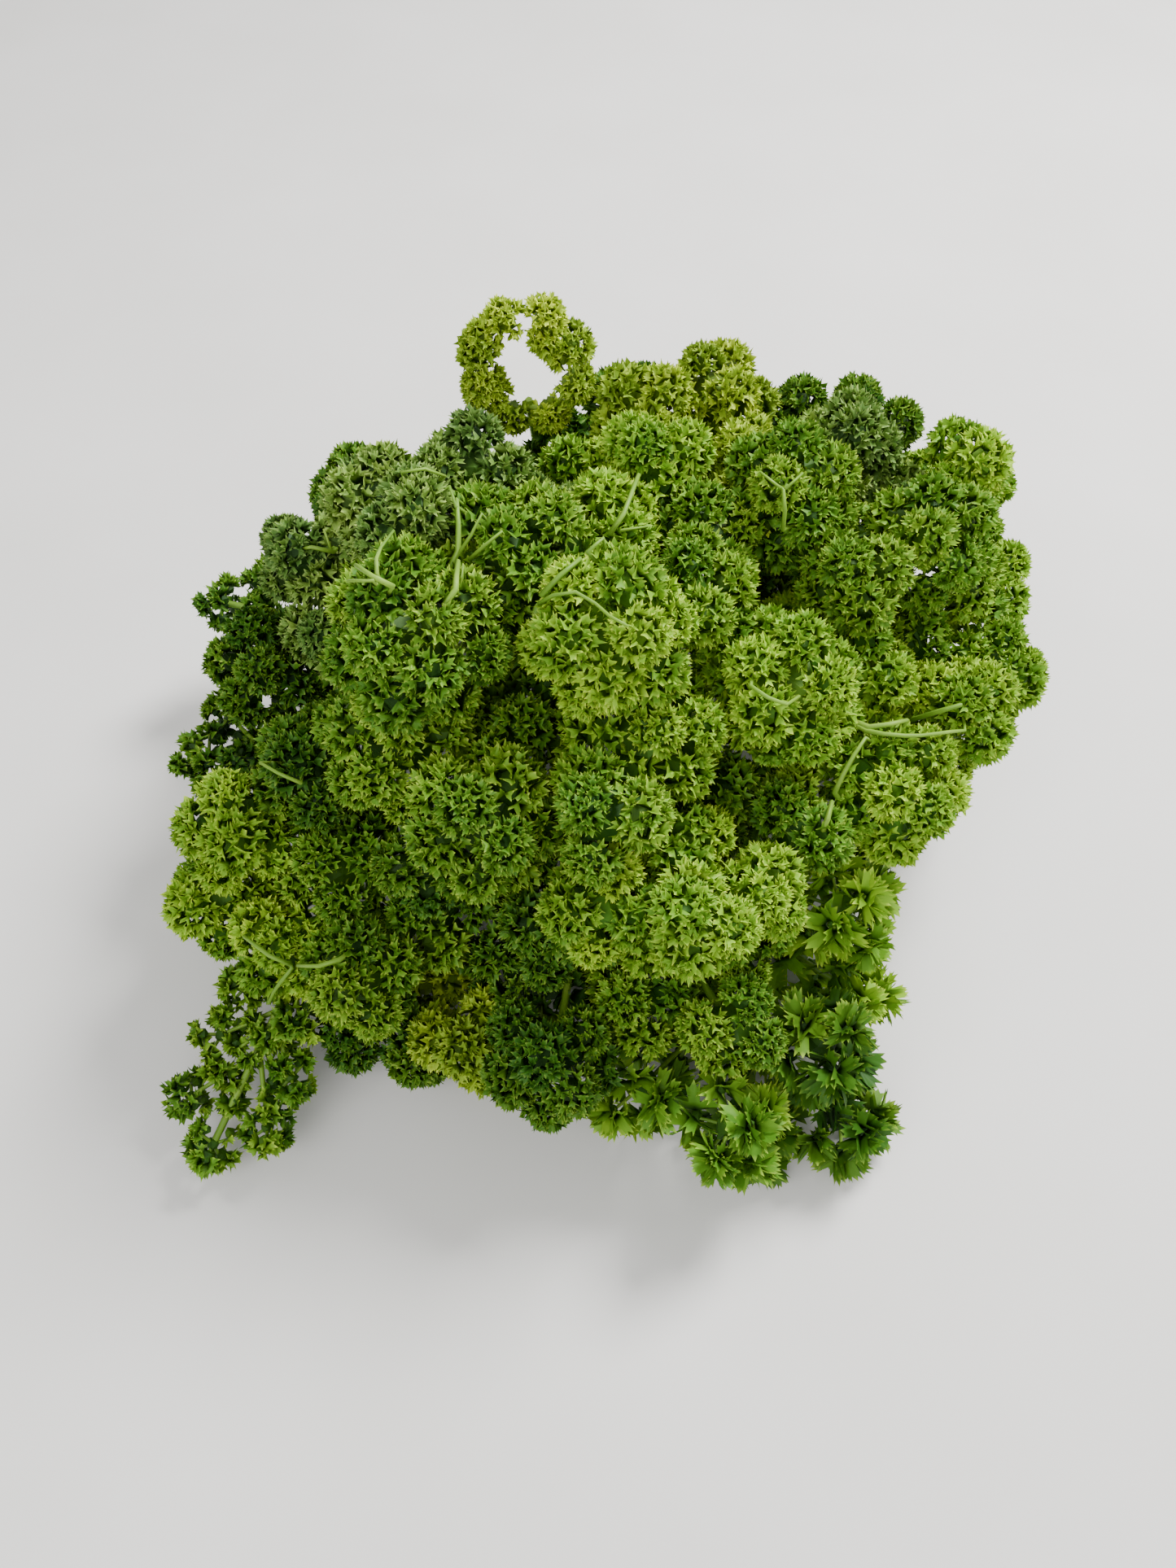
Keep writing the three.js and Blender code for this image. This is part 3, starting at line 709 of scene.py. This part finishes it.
def leaf_material(tone):
    material, tree = blank_material("leaf_" + tone)
    mottle, patch = noise(tree, 240.0, 3.0), noise(tree, 22.0, 1.0)
    rim, shade, tint = [number_at(tree, name) for name in ("rim", "shade", "tint")]
    along = weighed(tree, 0.0, (mottle, 0.3), (rim, 0.85))
    root, blade, tip = TONES[tone]
    # The ramp runs from a dark root, partly painted shade, to a light tip, partly a painted highlight.
    colour = ramp(tree, along, [(0.15, root), (0.62, blade), (0.82, blade), (1.0, tip)])
    wires = {
        "Hue": weighed(tree, 0.5, (tint, -0.01), (shade, -0.012)),
        "Value": weighed(tree, 0.84, (shade, 0.26), (tint, 0.2), (patch, 0.5)),
        "Color": colour,
    }
    colour = add_node(tree, "ShaderNodeHueSaturation", wires)
    wires = {"Base Color": colour, "Roughness": 0.55, "Specular IOR Level": 0.22}
    surface = add_node(tree, "ShaderNodeBsdfPrincipled", wires)
    glow = add_node(tree, "ShaderNodeBsdfTranslucent", {"Color": colour})
    mixed = in_order(tree, "ShaderNodeMixShader", LIGHT_THROUGH, surface, glow)
    return finished(material, mixed)


leaf_materials = {tone: leaf_material(tone) for tone in TONES}


# %% [markdown]
# ### Stalks
#
# A stalk is pale green, ribbed along its length and slightly waxy. The ribs are real geometry;
# the material adds a fine grain and a little blotching.

# %% The stalk material
def stalk_material():
    material, tree = blank_material("stalk_green")
    blotches = noise(tree, 60.0, 4.0)
    colour = ramp(tree, blotches, [(0.3, "#5a8420"), (0.55, "#769c2f"), (0.8, "#94b246")])
    bump = {"Height": noise(tree, 900.0, 2.0), "Strength": 0.25, "Distance": 0.0003}
    wires = {
        "Base Color": colour,
        "Roughness": 0.5,
        "Specular IOR Level": 0.3,
        "Normal": add_node(tree, "ShaderNodeBump", bump),
    }
    return finished(material, add_node(tree, "ShaderNodeBsdfPrincipled", wires))


stalk_green = stalk_material()

# %% [markdown]
# ## The camera
#
# The camera looks down on the bunch, with the cut ends pointing away from it. It comes before the
# stalks because some of them are placed by where they appear in its picture.

# %% The camera
LENS_MM, SENSOR_MM = 27.03, 36.0
PICTURE = (1445, 1927)
camera = new_object("camera", bpy.data.cameras.new("camera"))
camera.data.sensor_fit = "VERTICAL"
camera.data.sensor_height = SENSOR_MM
camera.data.lens = LENS_MM
camera.data.clip_start = 0.01
camera.location = (-0.00496, -0.26763, 0.400)
camera.rotation_euler = Euler((math.radians(33), 0, 0))
bpy.context.scene.camera = camera
eye = 1000 * np.array(camera.location) + CENTRE  # the camera's place in the plan

# %% [markdown]
# ## Knobs of leaflets
#
# Each tuft is a group of knobs as big as the end of a thumb. On a knob the leaflets stand side by
# side and all look outwards, so that mostly their toothed rims show. Directions that turn by the
# golden angle from one to the next spread evenly over a ball, whatever their number, so this rule
# places knobs on a tuft and leaflets on a knob.
#
# Leaflets that would be buried in a neighbour, or hidden both from the camera and from most
# directions above, are left out, which spends the faces where they show.

# %% Even directions, and the knobs of each tuft
GOLDEN_ANGLE = math.pi * (3 - math.sqrt(5))


def ball_directions(count, turn, opening=180):
    """Even directions that turn round +Z, as far as this many degrees from it."""
    i = np.arange(count)
    up = 1 - (i + 0.5) / count * (1 - math.cos(math.radians(opening)))
    angle = i * GOLDEN_ANGLE + turn
    out = np.sqrt(1 - up**2)
    return np.stack([out * np.cos(angle), out * np.sin(angle), up], axis=1)


STYLES = {
    # Radius of a knob, reach of its leaflets, mm2 for each and how untidily they point; how far
    # round its side they go, in degrees; and how much a knob turns the way that its tuft looks.
    "curly": dict(knob=11.0, reach=5.4, each=15.3, stray=0.4, opening=114, lean=0.3),
    "loose": dict(knob=6.6, reach=5.4, each=24.0, stray=0.9, opening=88, lean=1.3),
    "broad": dict(knob=10.6, reach=8.6, each=60.0, stray=0.7, opening=95, lean=0.3),
}
BROAD_STEMS = {"front_flat", "front_flat_right", "right_front", "right_inner"}
KNOB_SPACING = 1.36  # between the middles of two knobs, as a share of their radius
KNOB_AREA = 0.87  # that a knob takes up round its tuft, in squares of the spacing
KNOB_SHARE = {"ring": 0.85, "dome": 0.85, "spray": 0.6}  # of its tuft's radius, at most
LEAST_KNOBS = 5
LEAST_BALL = 0.3  # closer in than this share of their radius, the knobs become one
TURNED_AWAY = -0.85  # knobs that face back into the head more than this are left out


def knobs_of(tuft, style, share, draw):
    """Middle, radius and outward direction of each knob of a tuft."""
    radius = min(STYLES[style]["knob"], share * tuft.r)
    ball = tuft.r - radius
    if ball < LEAST_BALL * radius:
        return [(tuft.at, tuft.r, tuft.look)]
    count = round(4 * math.pi * ball**2 / (KNOB_AREA * (KNOB_SPACING * radius) ** 2))
    knobs = []
    for d in ball_directions(max(LEAST_KNOBS, count), 6 * draw()):
        if d @ tuft.look > TURNED_AWAY:
            size = radius * (0.8 + 0.3 * draw())
            at = tuft.at + d * (tuft.r * (0.94 + 0.1 * draw()) - size)
            knobs.append((at, size, unit(d + STYLES[style]["lean"] * tuft.look)))
    return knobs


knob_draw = seeded(4321)
for stem in stems:
    stem.style = "loose" if stem.plan == "spray" else "curly"
    if stem.name in BROAD_STEMS:
        stem.style = "broad"
    for tuft in stem.tufts:
        tuft.knobs = knobs_of(tuft, stem.style, KNOB_SHARE[stem.plan], knob_draw)
all_tufts = [t for s in stems for t in s.tufts]
tuft_at = np.array([t.at for t in all_tufts])
tuft_r = np.array([t.r for t in all_tufts])
knob_owner = [s.name for s in stems for t in s.tufts for k in t.knobs]
knob_at = np.array([k[0] for t in all_tufts for k in t.knobs])
knob_r = np.array([k[1] for t in all_tufts for k in t.knobs])
print(len(knob_r), "knobs")

# %% Which leaflets show
VIEWS = [d for d in ball_directions(60, 0) if d[2] > 0]
HIDING_DEPTH = 8.0  # a tuft hides what is behind it, but for this much of its rim
LEAST_HIDING = 2.0
BURIED = 0.95  # a leaflet's tip inside this share of another knob is buried
LEAST_SEEN = 0.24
HALF_SEEN = 0.4  # below this, every other leaflet is left out and the rest are larger
LARGER = 1.12
LEAST_SIZE, MOST_SIZE = 0.78, 1.06  # of a leaflet, however small or large its knob is
hiding_r = np.maximum(tuft_r - HIDING_DEPTH, LEAST_HIDING)


def hidden(far, along):
    """Whether a tuft is in the way: `far` is its distance squared, `along` that on the ray."""
    return ((along > 0) & (far - along**2 < hiding_r**2)).any(axis=1)


def seen_share(places):
    """The share of views from above in which each place isn't behind a tuft."""
    gap = tuft_at[None] - places[:, None]
    far = (gap**2).sum(axis=2)
    return sum(~hidden(far, gap @ view) for view in VIEWS) / len(VIEWS)


def camera_sees(places):
    """Whether each place can be seen from the camera past the tufts."""
    ray = eye - places
    ray /= norm(ray, axis=1)[:, None]
    gap = tuft_at[None] - places[:, None]
    return ~hidden((gap**2).sum(axis=2), (gap * ray[:, None]).sum(axis=2))


def turned_to(d, directions):
    """Directions round +Z, turned to lie round d."""
    e1, e2 = sideways(d)
    return directions @ np.array([e1, e2, d])


def leaflets_on(knob, style, draw):
    """Root, direction and size of each leaflet that shows on one knob."""
    middle, radius, outward = knob
    s = STYLES[style]
    size = min(MOST_SIZE, max(LEAST_SIZE, radius / s["knob"]))
    cap = 2 * math.pi * radius**2 * (1 - math.cos(math.radians(s["opening"])))
    count = round(cap / (s["each"] * size**2))
    d = turned_to(outward, ball_directions(count, 6 * draw(), s["opening"]))
    d = d + s["stray"] * np.array([[draw() - 0.5 for _ in range(3)] for _ in d])
    d /= norm(d, axis=1)[:, None]
    tips = middle + radius * d
    gaps = norm(tips[:, None] - knob_at[None], axis=2) / knob_r[None]
    gaps[:, norm(knob_at - middle, axis=1) < 1e-6] = np.inf
    seen = seen_share(tips)
    faint = seen < HALF_SEEN
    shows = (gaps.min(axis=1) > BURIED) & (tips[:, 2] > 1)
    shows &= (seen > LEAST_SEEN) | camera_sees(tips)
    shows &= ~faint | (np.arange(len(d)) % 2 == 0)
    sizes = size * np.where(faint, LARGER, 1) * [0.88 + 0.24 * draw() for _ in d]
    roots = middle + max(0.5, radius - size * s["reach"]) * d
    return zip(roots[shows], d[shows], sizes[shows])


# %% [markdown]
# ### Bare stalks over the heads
#
# Where a head is turned over or leans out, its stalk and branches lie bare across the leaves.
# Each is a line of places in the camera's picture. It is cut into short steps, and every step is
# dropped along its line of sight onto the knobs, so that the stalk lies on them from any other
# side too. Where the line passes to a head further back, the stalk dips into the leaves and comes
# out again on that head.

# %% Drop places in the picture onto the knobs
BARE_LIFT = 0.9  # from the round of a knob to the stalk's middle
PICTURE_STEP = 7  # between two steps, in the picture's own units
BREAK = 7.0  # a longer step than this, in millimetres, passes to another head
DIP = 0.5  # how far an end goes in, as a share of the way to the knob's middle
SMOOTHINGS = 3  # how often the line is eased over the dips between knobs
LEAST_STEPS = 4  # a shorter stretch is left out
MISSED = 1e4  # further off than any knob


def on_knobs(across, down):
    """The first knob along a line of sight, and the place where the line meets its round."""
    view = np.array(camera.rotation_euler.to_matrix())
    pixel = SENSOR_MM / LENS_MM / PICTURE[1]
    ray = np.array([(across - PICTURE[0] / 2) * pixel, (PICTURE[1] / 2 - down) * pixel, -1])
    ray = unit(view @ ray)
    gap = eye - knob_at
    along = gap @ ray
    inside = along**2 - (gap**2).sum(axis=1) + (knob_r + BARE_LIFT) ** 2
    reach = np.where(inside > 0, -along - np.sqrt(np.maximum(inside, 0)), MISSED)
    first = int(reach.argmin())
    return first, eye + reach[first] * ray


def bare_runs(places):
    """The stretches of one bare stalk, each as its points and the knob that it ends on."""
    steps = []
    for a, b in zip(places, places[1:]):
        count = math.ceil(math.dist(a, b) / PICTURE_STEP)
        steps += [np.array(a) + (np.array(b) - a) * i / count for i in range(count)]
    met = [on_knobs(*step) for step in [*steps, places[-1]]]
    runs = [[met[0]]]
    for a, b in zip(met, met[1:]):
        if norm(b[1] - a[1]) > BREAK:
            runs.append([])
        runs[-1].append(b)
    for run in runs:
        if len(run) < LEAST_STEPS:
            continue
        points = np.array([point for _, point in run])
        for _ in range(SMOOTHINGS):
            points[1:-1] = (points[:-2] + 2 * points[1:-1] + points[2:]) / 4
        ends = knob_at[[run[0][0], run[-1][0]]]
        start, end = points[[0, -1]] + DIP * (ends - points[[0, -1]])
        yield [start, *points, end], run[-1][0]


# %% The bare stalks
# For each: its radius at both ends, then places across and down the picture, from the thick end.
BARE_STALKS = {
    "crown, stalk": (0.95, 0.68, [(559, 728), (563, 690), (564, 655), (562, 612)]),
    "crown, right branch": (0.61, 0.43, [(565, 680), (582, 653), (593, 632)]),
    "crown, low right branch": (0.61, 0.43, [(562, 705), (586, 678), (618, 653)]),
    "crown, left branch": (0.61, 0.43, [(562, 625), (546, 582), (514, 574), (490, 582)]),
    "fan, stalk": (0.88, 0.62, [(484, 722), (461, 710), (443, 699), (404, 674), (378, 672)]),
    "fan, tip": (0.54, 0.37, [(408, 677), (398, 656), (398, 636)]),
    "fan, low branch": (0.61, 0.43, [(466, 713), (440, 714), (418, 714), (392, 709)]),
    "fan, upper branch": (0.61, 0.43, [(464, 708), (461, 685), (471, 667), (490, 648)]),
    "bright, stalk": (0.95, 0.68, [(655, 745), (672, 722), (693, 703), (732, 671), (761, 646), (785, 583)]),
    "bright, branch": (0.54, 0.37, [(755, 653), (780, 650), (802, 646)]),
    "side, stalk": (0.61, 0.43, [(662, 742), (689, 726), (718, 728), (736, 746), (757, 764), (770, 768)]),
    "middle, stalk": (0.75, 0.56, [(963, 652), (965, 625), (962, 598)]),
    "middle, left branch": (0.54, 0.37, [(963, 606), (948, 585), (928, 578)]),
    "middle, right branch": (0.54, 0.37, [(963, 606), (973, 588), (990, 580)]),
    "right, stalk": (1.02, 0.74, [(1026, 892), (1050, 895), (1080, 893), (1115, 886), (1182, 866)]),
    "right, low stalk": (0.82, 0.56, [(1060, 897), (1090, 903), (1125, 905), (1186, 897)]),
    "right, branch down": (0.95, 0.68, [(1016, 1010), (1024, 978), (1042, 938), (1066, 905)]),
    "large, stalk": (0.68, 0.50, [(922, 842), (943, 857), (962, 870), (982, 856)]),
    "left, stalk": (0.88, 0.62, [(420, 1178), (395, 1188), (360, 1186), (332, 1176), (300, 1150)]),
    "left, branch down": (0.82, 0.56, [(362, 1186), (338, 1215), (322, 1250), (300, 1290)]),
    "sprig, stalk": (0.68, 0.50, [(372, 962), (350, 955), (325, 940), (300, 922)]),
}
bare_lines = [
    (*run, *radii) for *radii, places in BARE_STALKS.values() for run in bare_runs(places)
]
print(len(BARE_STALKS), "bare stalks in", len(bare_lines), "stretches")

# %% [markdown]
# ## The skeleton of a leafy stem
#
# One mesh says all that a stem needs: chains of edges for the stalk, its branches and its twigs,
# with a thickness at each point, and loose points for leaflets and for cores coloured with painted
# shade, with the way they face. A number tells the kinds of point apart.

# %% Gather the skeleton
STALK, TWIG, LEAFLET, CORE = 0, 1, 2, 3
# The cores are coloured dark as painted shade inside the tufts and knobs.
TUFT_CORE = {"curly": 0.44, "loose": 0.2, "broad": 0.26}  # a tuft's dark core, as a share of it
KNOB_CORE = {"curly": 0.44, "loose": 0.35, "broad": 0.2}  # the same for a knob
KNOB_TWIG_R = (0.7, 0.5)  # at the ends of the twig from a tuft's middle to a knob's
KNOB_TWIG_PAST = 2  # how far it goes on past that
BRANCH_KNOBS = {"ring": (0.5,), "spray": (0.35, 0.68), "dome": ()}  # shares of a stretch
SPRAY_STALK_KNOBS = (0.2, 0.4, 0.6, 0.8)  # and of the last stretch of a spray's stalk
BRANCH_KNOB_R, BRANCH_KNOB_MORE = 5.5, 3  # their least radius, and the most added
BRANCH_KNOB_OFF = 6  # how far across they are moved


def skeleton(stem):
    draw = seeded(501 + 31 * len(stem.name) + int(stem.cut[0] * 7 + 4000))
    rows, edges = [], []

    def add(at, kind, thick=0, out=(0, 0, 1), size=1, shade=0):
        rows.append((*at, kind, thick, *out, size, shade))

    def line(path, start, end, kind):
        first = len(rows)
        for at, thick in zip(path, np.linspace(start, end, len(path))):
            add(at, kind, thick)
        edges.extend((first + i, first + i + 1) for i in range(len(path) - 1))

    def leafy(knob, shade):
        middle, radius, outward = knob
        add(middle, CORE, 0, outward, KNOB_CORE[stem.style] * radius, shade)
        for root, out, size in leaflets_on(knob, stem.style, draw):
            add(root, LEAFLET, 0, out, size, shade)

    def between(a, b, shares):
        """Small knobs a little off a branch's line, so that it isn't bare."""
        for share in shares:
            aside = np.array([draw() - 0.5 for _ in range(3)])
            middle = a + share * (b - a) + BRANCH_KNOB_OFF * aside
            radius = BRANCH_KNOB_R + BRANCH_KNOB_MORE * draw()
            leafy((middle, radius, unit(aside + 0.6 * stem.look)), 0)

    line(stem.path, STALK_CUT_R, STALK_TOP_R * 0.8, STALK)
    for path in stem.branches:
        line(path, BRANCH_R * 1.2, BRANCH_R * 0.8, TWIG)
        bends = path[1:] if stem.plan == "ring" else path
        for a, b in zip(bends, bends[1:]):
            between(a, b, BRANCH_KNOBS[stem.plan])
    if stem.plan == "spray":
        between(*stem.path[-2:], SPRAY_STALK_KNOBS)
    for points, knob_number, start, end in bare_lines:
        if knob_owner[knob_number] == stem.name:
            line(points, start, end, STALK)
    for tuft in stem.tufts:
        add(tuft.at, CORE, 0, tuft.look, TUFT_CORE[stem.style] * tuft.r)
        for knob in tuft.knobs:
            line([tuft.at, knob[0] + KNOB_TWIG_PAST * knob[2]], *KNOB_TWIG_R, TWIG)
            leafy(knob, 2 * draw() - 1)
    table = np.array(rows)
    table[:, :3] -= CENTRE
    return mesh_of(
        stem.name, table[:, :3], edges=edges, kind=table[:, 3], thick=table[:, 4] / 1000,
        outward=table[:, 5:8], size=table[:, 8], shade=table[:, 9],
    )


skeletons = [skeleton(s) for s in stems]

# %% [markdown]
# ## Growing a leafy stem
#
# Chains of edges become smooth curves, and a small profile is swept along them; the profile of a
# stalk is a star, which makes the ribs. Each tuft and each knob also gets a core, so that no
# light shows straight through it; the core is coloured as dark as a leaf's root, which is painted
# shade.

# %% Cores for the tufts and knobs
# A core's dark colour is painted shade for the inside of the foliage.
SHADED_CORE_RIM = 0.05  # a core is as dark as a leaf's root


def core(name, draw):
    """A ball with a knobbly skin, 1 mm in radius before it is scaled."""
    bpy.ops.mesh.primitive_ico_sphere_add(subdivisions=1, radius=1)
    ball = bpy.context.object
    points = np.array([v.co for v in ball.data.vertices])
    points *= np.array([0.8 + 0.4 * draw() for _ in points])[:, None]
    faces = [tuple(p.vertices) for p in ball.data.polygons]
    bpy.data.objects.remove(ball)
    return mesh_of(name, points, faces, rim=np.full(len(points), SHADED_CORE_RIM))


cores = collection_of("cores", [core(f"core_{i}", draw) for i in range(4)])


# %% The stem tree
def tubes(tree, skeleton, kind, step, sides, rib, material):
    """Add nodes that sweep a ribbed profile along the chains of one kind."""
    wires = {"Mesh": skeleton, "Selection": of_kind(tree, kind)}
    curve = add_node(tree, "GeometryNodeMeshToCurve", wires)
    wires = {"Curve": curve}
    curve = add_node(tree, "GeometryNodeCurveSplineType", wires, spline_type="CATMULL_ROM")
    wires = {"Curve": curve, "Length": step}
    curve = add_node(tree, "GeometryNodeResampleCurve", wires, mode="LENGTH")
    ring = add_node(tree, "GeometryNodeCurvePrimitiveCircle", {"Resolution": sides, "Radius": 1.0})
    odd = maths(tree, "MODULO", add_node(tree, "GeometryNodeInputIndex"), 2.0)
    pull = maths(tree, "SUBTRACT", 1.0, maths(tree, "MULTIPLY", odd, rib))
    where = add_node(tree, "GeometryNodeInputPosition")
    pull = add_node(tree, "ShaderNodeVectorMath", {"Vector": where, "Scale": pull}, operation="SCALE")
    ring = add_node(tree, "GeometryNodeSetPosition", {"Geometry": ring, "Position": pull})
    wires = {"Curve": curve, "Profile Curve": ring, "Fill Caps": True}
    wires["Scale"] = attribute(tree, "thick")
    tube = add_node(tree, "GeometryNodeCurveToMesh", wires)
    return add_node(tree, "GeometryNodeSetMaterial", {"Geometry": tube, "Material": material})


def of_kind(tree, kind):
    wires = {"A": attribute(tree, "kind"), "B": float(kind), "Epsilon": 0.1}
    return add_node(tree, "FunctionNodeCompare", wires, data_type="FLOAT", operation="EQUAL")


def joined(tree, parts):
    join = tree.nodes.new("GeometryNodeJoinGeometry")
    for part in parts:
        tree.links.new(part, join.inputs[0])
    return join.outputs[0]


stem_tree, given = new_tree("Leafy stem", {
    "Leaflets": "Collection", "Cores": "Collection", "Seed": "Int", "Stalk Step": "Float",
    "Twig Step": "Float", "Stalk Sides": "Int", "Twig Sides": "Int", "Rib Depth": "Float",
    "Leaf": "Material", "Stalk": "Material",
})
base = given["Geometry"]
stalk = tubes(stem_tree, base, STALK, given["Stalk Step"], given["Stalk Sides"],
              given["Rib Depth"], given["Stalk"])
twigs = tubes(stem_tree, base, TWIG, given["Twig Step"], given["Twig Sides"], 0.0, given["Stalk"])
leafy = [
    copies_on(stem_tree, base, given[copies], given["Seed"], of_kind(stem_tree, kind))
    for copies, kind in (("Leaflets", LEAFLET), ("Cores", CORE))
]
wires = {"Geometry": joined(stem_tree, leafy), "Material": given["Leaf"]}
leaves = add_node(stem_tree, "GeometryNodeSetMaterial", wires)
add_node(stem_tree, "NodeGroupOutput", {"Geometry": joined(stem_tree, (stalk, twigs, leaves))})
print(len(stem_tree.nodes), "nodes")

# %% Grow every stem
PRESS_HEIGHT = 0.002  # leaves are pressed from this height down, in metres
SWEEP = dict(Stalk_Step=0.006, Twig_Step=0.006, Stalk_Sides=10, Twig_Sides=5, Rib_Depth=0.16)


def press_flat(mesh):
    """Bend what would go below the surface along it, so that no two points meet."""
    points = np.empty((len(mesh.vertices), 3))
    mesh.vertices.foreach_get("co", points.ravel())
    low = points[:, 2] < PRESS_HEIGHT
    points[low, 2] = PRESS_HEIGHT * np.exp((points[low, 2] - PRESS_HEIGHT) / PRESS_HEIGHT)
    mesh.vertices.foreach_set("co", points.ravel())


def dress(stem, mesh, seed):
    leaflets = flat_leaflets if stem.style == "broad" else frills
    grown = grow(
        stem.name, mesh, stem_tree, Leaflets=leaflets, Cores=cores, Seed=seed,
        Leaf=leaf_materials[stem.tone], Stalk=stalk_green, **SWEEP,
    )
    press_flat(grown)
    piece = new_object("parsley_" + stem.name, grown)
    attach(piece, "root")
    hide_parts("stem_" + stem.name)
    return piece


pieces = [dress(s, mesh, i) for i, (s, mesh) in enumerate(zip(stems, skeletons))]
counts = [triangles(p.data) for p in pieces]
for collection in (frills, flat_leaflets, cores):
    for single in list(collection.objects):
        bpy.data.objects.remove(single)
    bpy.data.collections.remove(collection)
print(f"{sum(counts)} triangles in all, {max(counts)} in the largest stem")

# %% [markdown]
# ## Floor and light
#
# A plain pale floor, a large soft light from the upper right, a weaker one from the front left,
# and an even pale sky.

# %% The floor
def floor_material():
    material, tree = blank_material("pale_floor")
    colour = ramp(tree, noise(tree, 9.0, 5.0), [(0.3, "#d9d7d2"), (0.7, "#dfddd9")])
    wires = {"Base Color": colour, "Roughness": 0.7}
    return finished(material, add_node(tree, "ShaderNodeBsdfPrincipled", wires))


FLOOR_HALF = 2000
corners = [(x * FLOOR_HALF, y * FLOOR_HALF, 0) for x, y in ((-1, -1), (1, -1), (1, 1), (-1, 1))]
floor = new_object("floor", mesh_of("floor", corners, [(0, 1, 2, 3)]))
floor.data.materials.append(floor_material())


# %% The lights
LIT_PLACE = Vector((0, 0, 0.05))


def soft_light(name, place, side, watts):
    light = bpy.data.lights.new(name, "AREA")
    light.shape, light.size, light.energy = "DISK", side, watts
    lamp = new_object(name, light)
    lamp.location = place
    lamp.rotation_euler = (LIT_PLACE - Vector(place)).to_track_quat("-Z", "Y").to_euler()


soft_light("window", (0.65, 0.5, 1.1), 0.5, 38)
soft_light("fill", (-0.5, -0.9, 1.0), 1.2, 14)
sky = bpy.data.worlds.new("sky")
sky.use_nodes = True
background = sky.node_tree.nodes["Background"].inputs
background["Color"].default_value = (0.97, 0.98, 1, 1)
background["Strength"].default_value = 0.75
bpy.context.scene.world = sky
